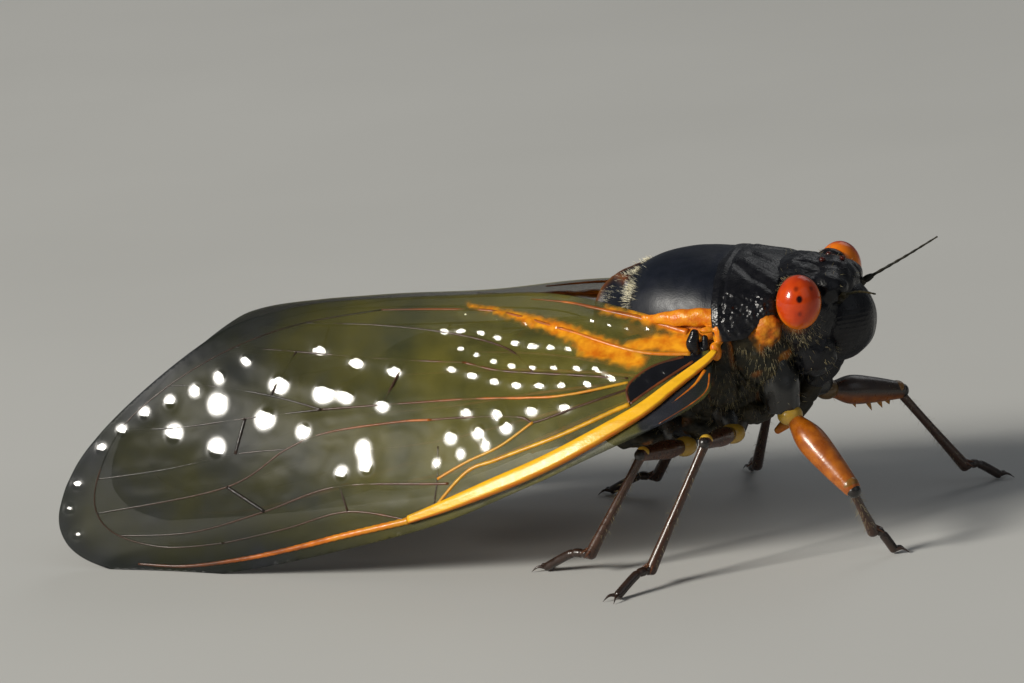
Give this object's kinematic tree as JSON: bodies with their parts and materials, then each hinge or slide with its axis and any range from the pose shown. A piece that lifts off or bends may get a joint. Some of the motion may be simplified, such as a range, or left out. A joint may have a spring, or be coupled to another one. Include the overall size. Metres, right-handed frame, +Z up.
{
  "type": "periodical cicada",
  "caption": "Life-size periodical cicada at rest on its feet, with a black body, red eyes, amber fore legs and clear wings folded like a roof.",
  "frame": {"origin": "centre of the whole model's box, on the floor it stands on", "axes": "+X from the tail to the head, +Y to the insect's left, +Z up"},
  "size_m": [0.042, 0.0216, 0.0132],
  "materials": {
    "cuticle_black": "hard glossy black cuticle",
    "cuticle_dull": "dull black cuticle",
    "eye": "smooth glossy red-orange eye",
    "leg_amber": "smooth amber cuticle",
    "leg_brown": "dark brown cuticle",
    "wing_clear": "clear crinkled membrane with amber veins",
    "hindwing_clear": "clear membrane"
  },
  "bodies": {
    "root": {"head": "cuticle_black", "eye_right": "eye", "eye_left": "eye", "antenna_right": "cuticle_dull", "antenna_left": "cuticle_dull", "beak": "cuticle_dull", "pronotum": "cuticle_black", "mesonotum": "cuticle_black", "thorax": "cuticle_dull", "abdomen": "cuticle_dull", "forewing_right": "wing_clear", "forewing_left": "wing_clear", "hindwing_right": "hindwing_clear", "hindwing_left": "hindwing_clear", "leg_fore_right_thigh": "leg_amber", "leg_fore_right_shin": "leg_brown", "leg_fore_right_foot": "leg_brown", "leg_fore_left_thigh": "leg_amber", "leg_fore_left_shin": "leg_brown", "leg_fore_left_foot": "leg_brown", "leg_mid_right_thigh": "leg_brown", "leg_mid_right_shin": "leg_brown", "leg_mid_right_foot": "leg_brown", "leg_mid_left_thigh": "leg_brown", "leg_mid_left_shin": "leg_brown", "leg_mid_left_foot": "leg_brown", "leg_hind_right_thigh": "leg_brown", "leg_hind_right_shin": "leg_brown", "leg_hind_right_foot": "leg_brown", "leg_hind_left_thigh": "leg_brown", "leg_hind_left_shin": "leg_brown", "leg_hind_left_foot": "leg_brown"}
  },
  "joints": []
}
